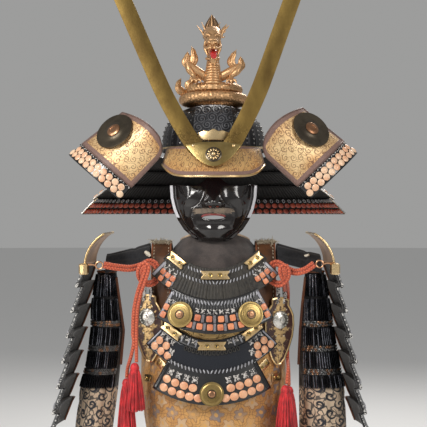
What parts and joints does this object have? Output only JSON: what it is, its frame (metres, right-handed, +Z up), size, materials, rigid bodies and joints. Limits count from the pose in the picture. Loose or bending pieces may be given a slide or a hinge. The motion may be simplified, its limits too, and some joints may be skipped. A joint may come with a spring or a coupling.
{
  "type": "samurai armour",
  "caption": "Suit of samurai armour as worn: crested helmet, face mask, gorget, cuirass with hanging skirt, shoulder guards, armoured sleeves and tasselled cords.",
  "frame": {"origin": "midway between the two shoulder straps, at the height of their undersides where they rest on the wearer's shoulders", "axes": "+Z up, towards the tips of the front crest; -Y the way the wearer faces; +X towards the wearer's left"},
  "size_m": [0.6926, 0.4, 1.3122],
  "materials": {
    "black_iron": "blackened iron, satin",
    "pale_brass": "pale polished brass",
    "printed_leather": "pale gold leather printed with a brown scroll",
    "aged_brass": "aged greenish brass, satin",
    "copper_gold": "carved wood with copper-gold gilding",
    "black_lacquer": "black lacquer over iron and rawhide, glossy",
    "bronze": "dark bronze with a copper middle",
    "suede": "grey-brown suede, matte",
    "lacing": "black lacquered lames under dark lacing",
    "brocade": "orange and gold brocade",
    "brown_leather": "brown leather, matte",
    "silver": "silver and gilt with a brocade face",
    "sleeve_cloth": "beige brocade with black splints",
    "dark_cloth": "black cloth, matte",
    "orange_silk": "orange-red braided silk",
    "red_silk": "red silk thread"
  },
  "bodies": {
    "root": {"helmet_bowl": "black_iron", "helmet_front_panel": "black_iron", "helmet_cusped_plate": "pale_brass", "visor": "printed_leather", "crest_base": "pale_brass", "crest_blade_right": "aged_brass", "crest_blade_left": "aged_brass", "dragon_crest": "copper_gold", "turnback_right": "printed_leather", "turnback_lame_right": "black_lacquer", "turnback_left": "printed_leather", "turnback_lame_left": "black_lacquer", "turnback_disc_right": "bronze", "turnback_disc_left": "bronze", "neck_guard_lame_1": "black_lacquer", "neck_guard_lame_2": "black_lacquer", "neck_guard_lame_3": "black_lacquer", "neck_guard_lame_4": "black_lacquer", "mask": "black_lacquer", "throat_collar": "suede", "gorget_plate": "lacing", "gorget_lame_upper": "lacing", "gorget_lame_lower": "lacing", "bib_plate": "lacing", "bib_lame_upper": "lacing", "bib_lame_lower": "lacing", "gorget_bar_right": "pale_brass", "gorget_bar_centre": "pale_brass", "gorget_bar_left": "pale_brass", "bib_bar_right": "pale_brass", "bib_bar_centre": "pale_brass", "bib_bar_left": "pale_brass", "gorget_disc_right": "pale_brass", "gorget_disc_left": "pale_brass", "bib_disc": "pale_brass", "cuirass_front": "brocade", "cuirass_back": "brocade", "chest_plate": "aged_brass", "shoulder_strap_right": "brown_leather", "shoulder_strap_left": "brown_leather", "gourd_plate_right": "silver", "gourd_plate_left": "silver", "skirt_panel_1": "black_lacquer", "skirt_panel_2": "black_lacquer", "skirt_panel_3": "black_lacquer", "skirt_panel_4": "black_lacquer", "skirt_panel_5": "black_lacquer", "shoulder_guard_right": "black_lacquer", "shoulder_cap_right": "pale_brass", "sleeve_right": "sleeve_cloth", "shoulder_cloth_right": "dark_cloth", "shoulder_guard_left": "black_lacquer", "shoulder_cap_left": "pale_brass", "sleeve_left": "sleeve_cloth", "shoulder_cloth_left": "dark_cloth", "cord_right": "orange_silk", "tassel_right": "red_silk", "cord_left": "orange_silk", "tassel_left": "red_silk"}
  },
  "joints": []
}
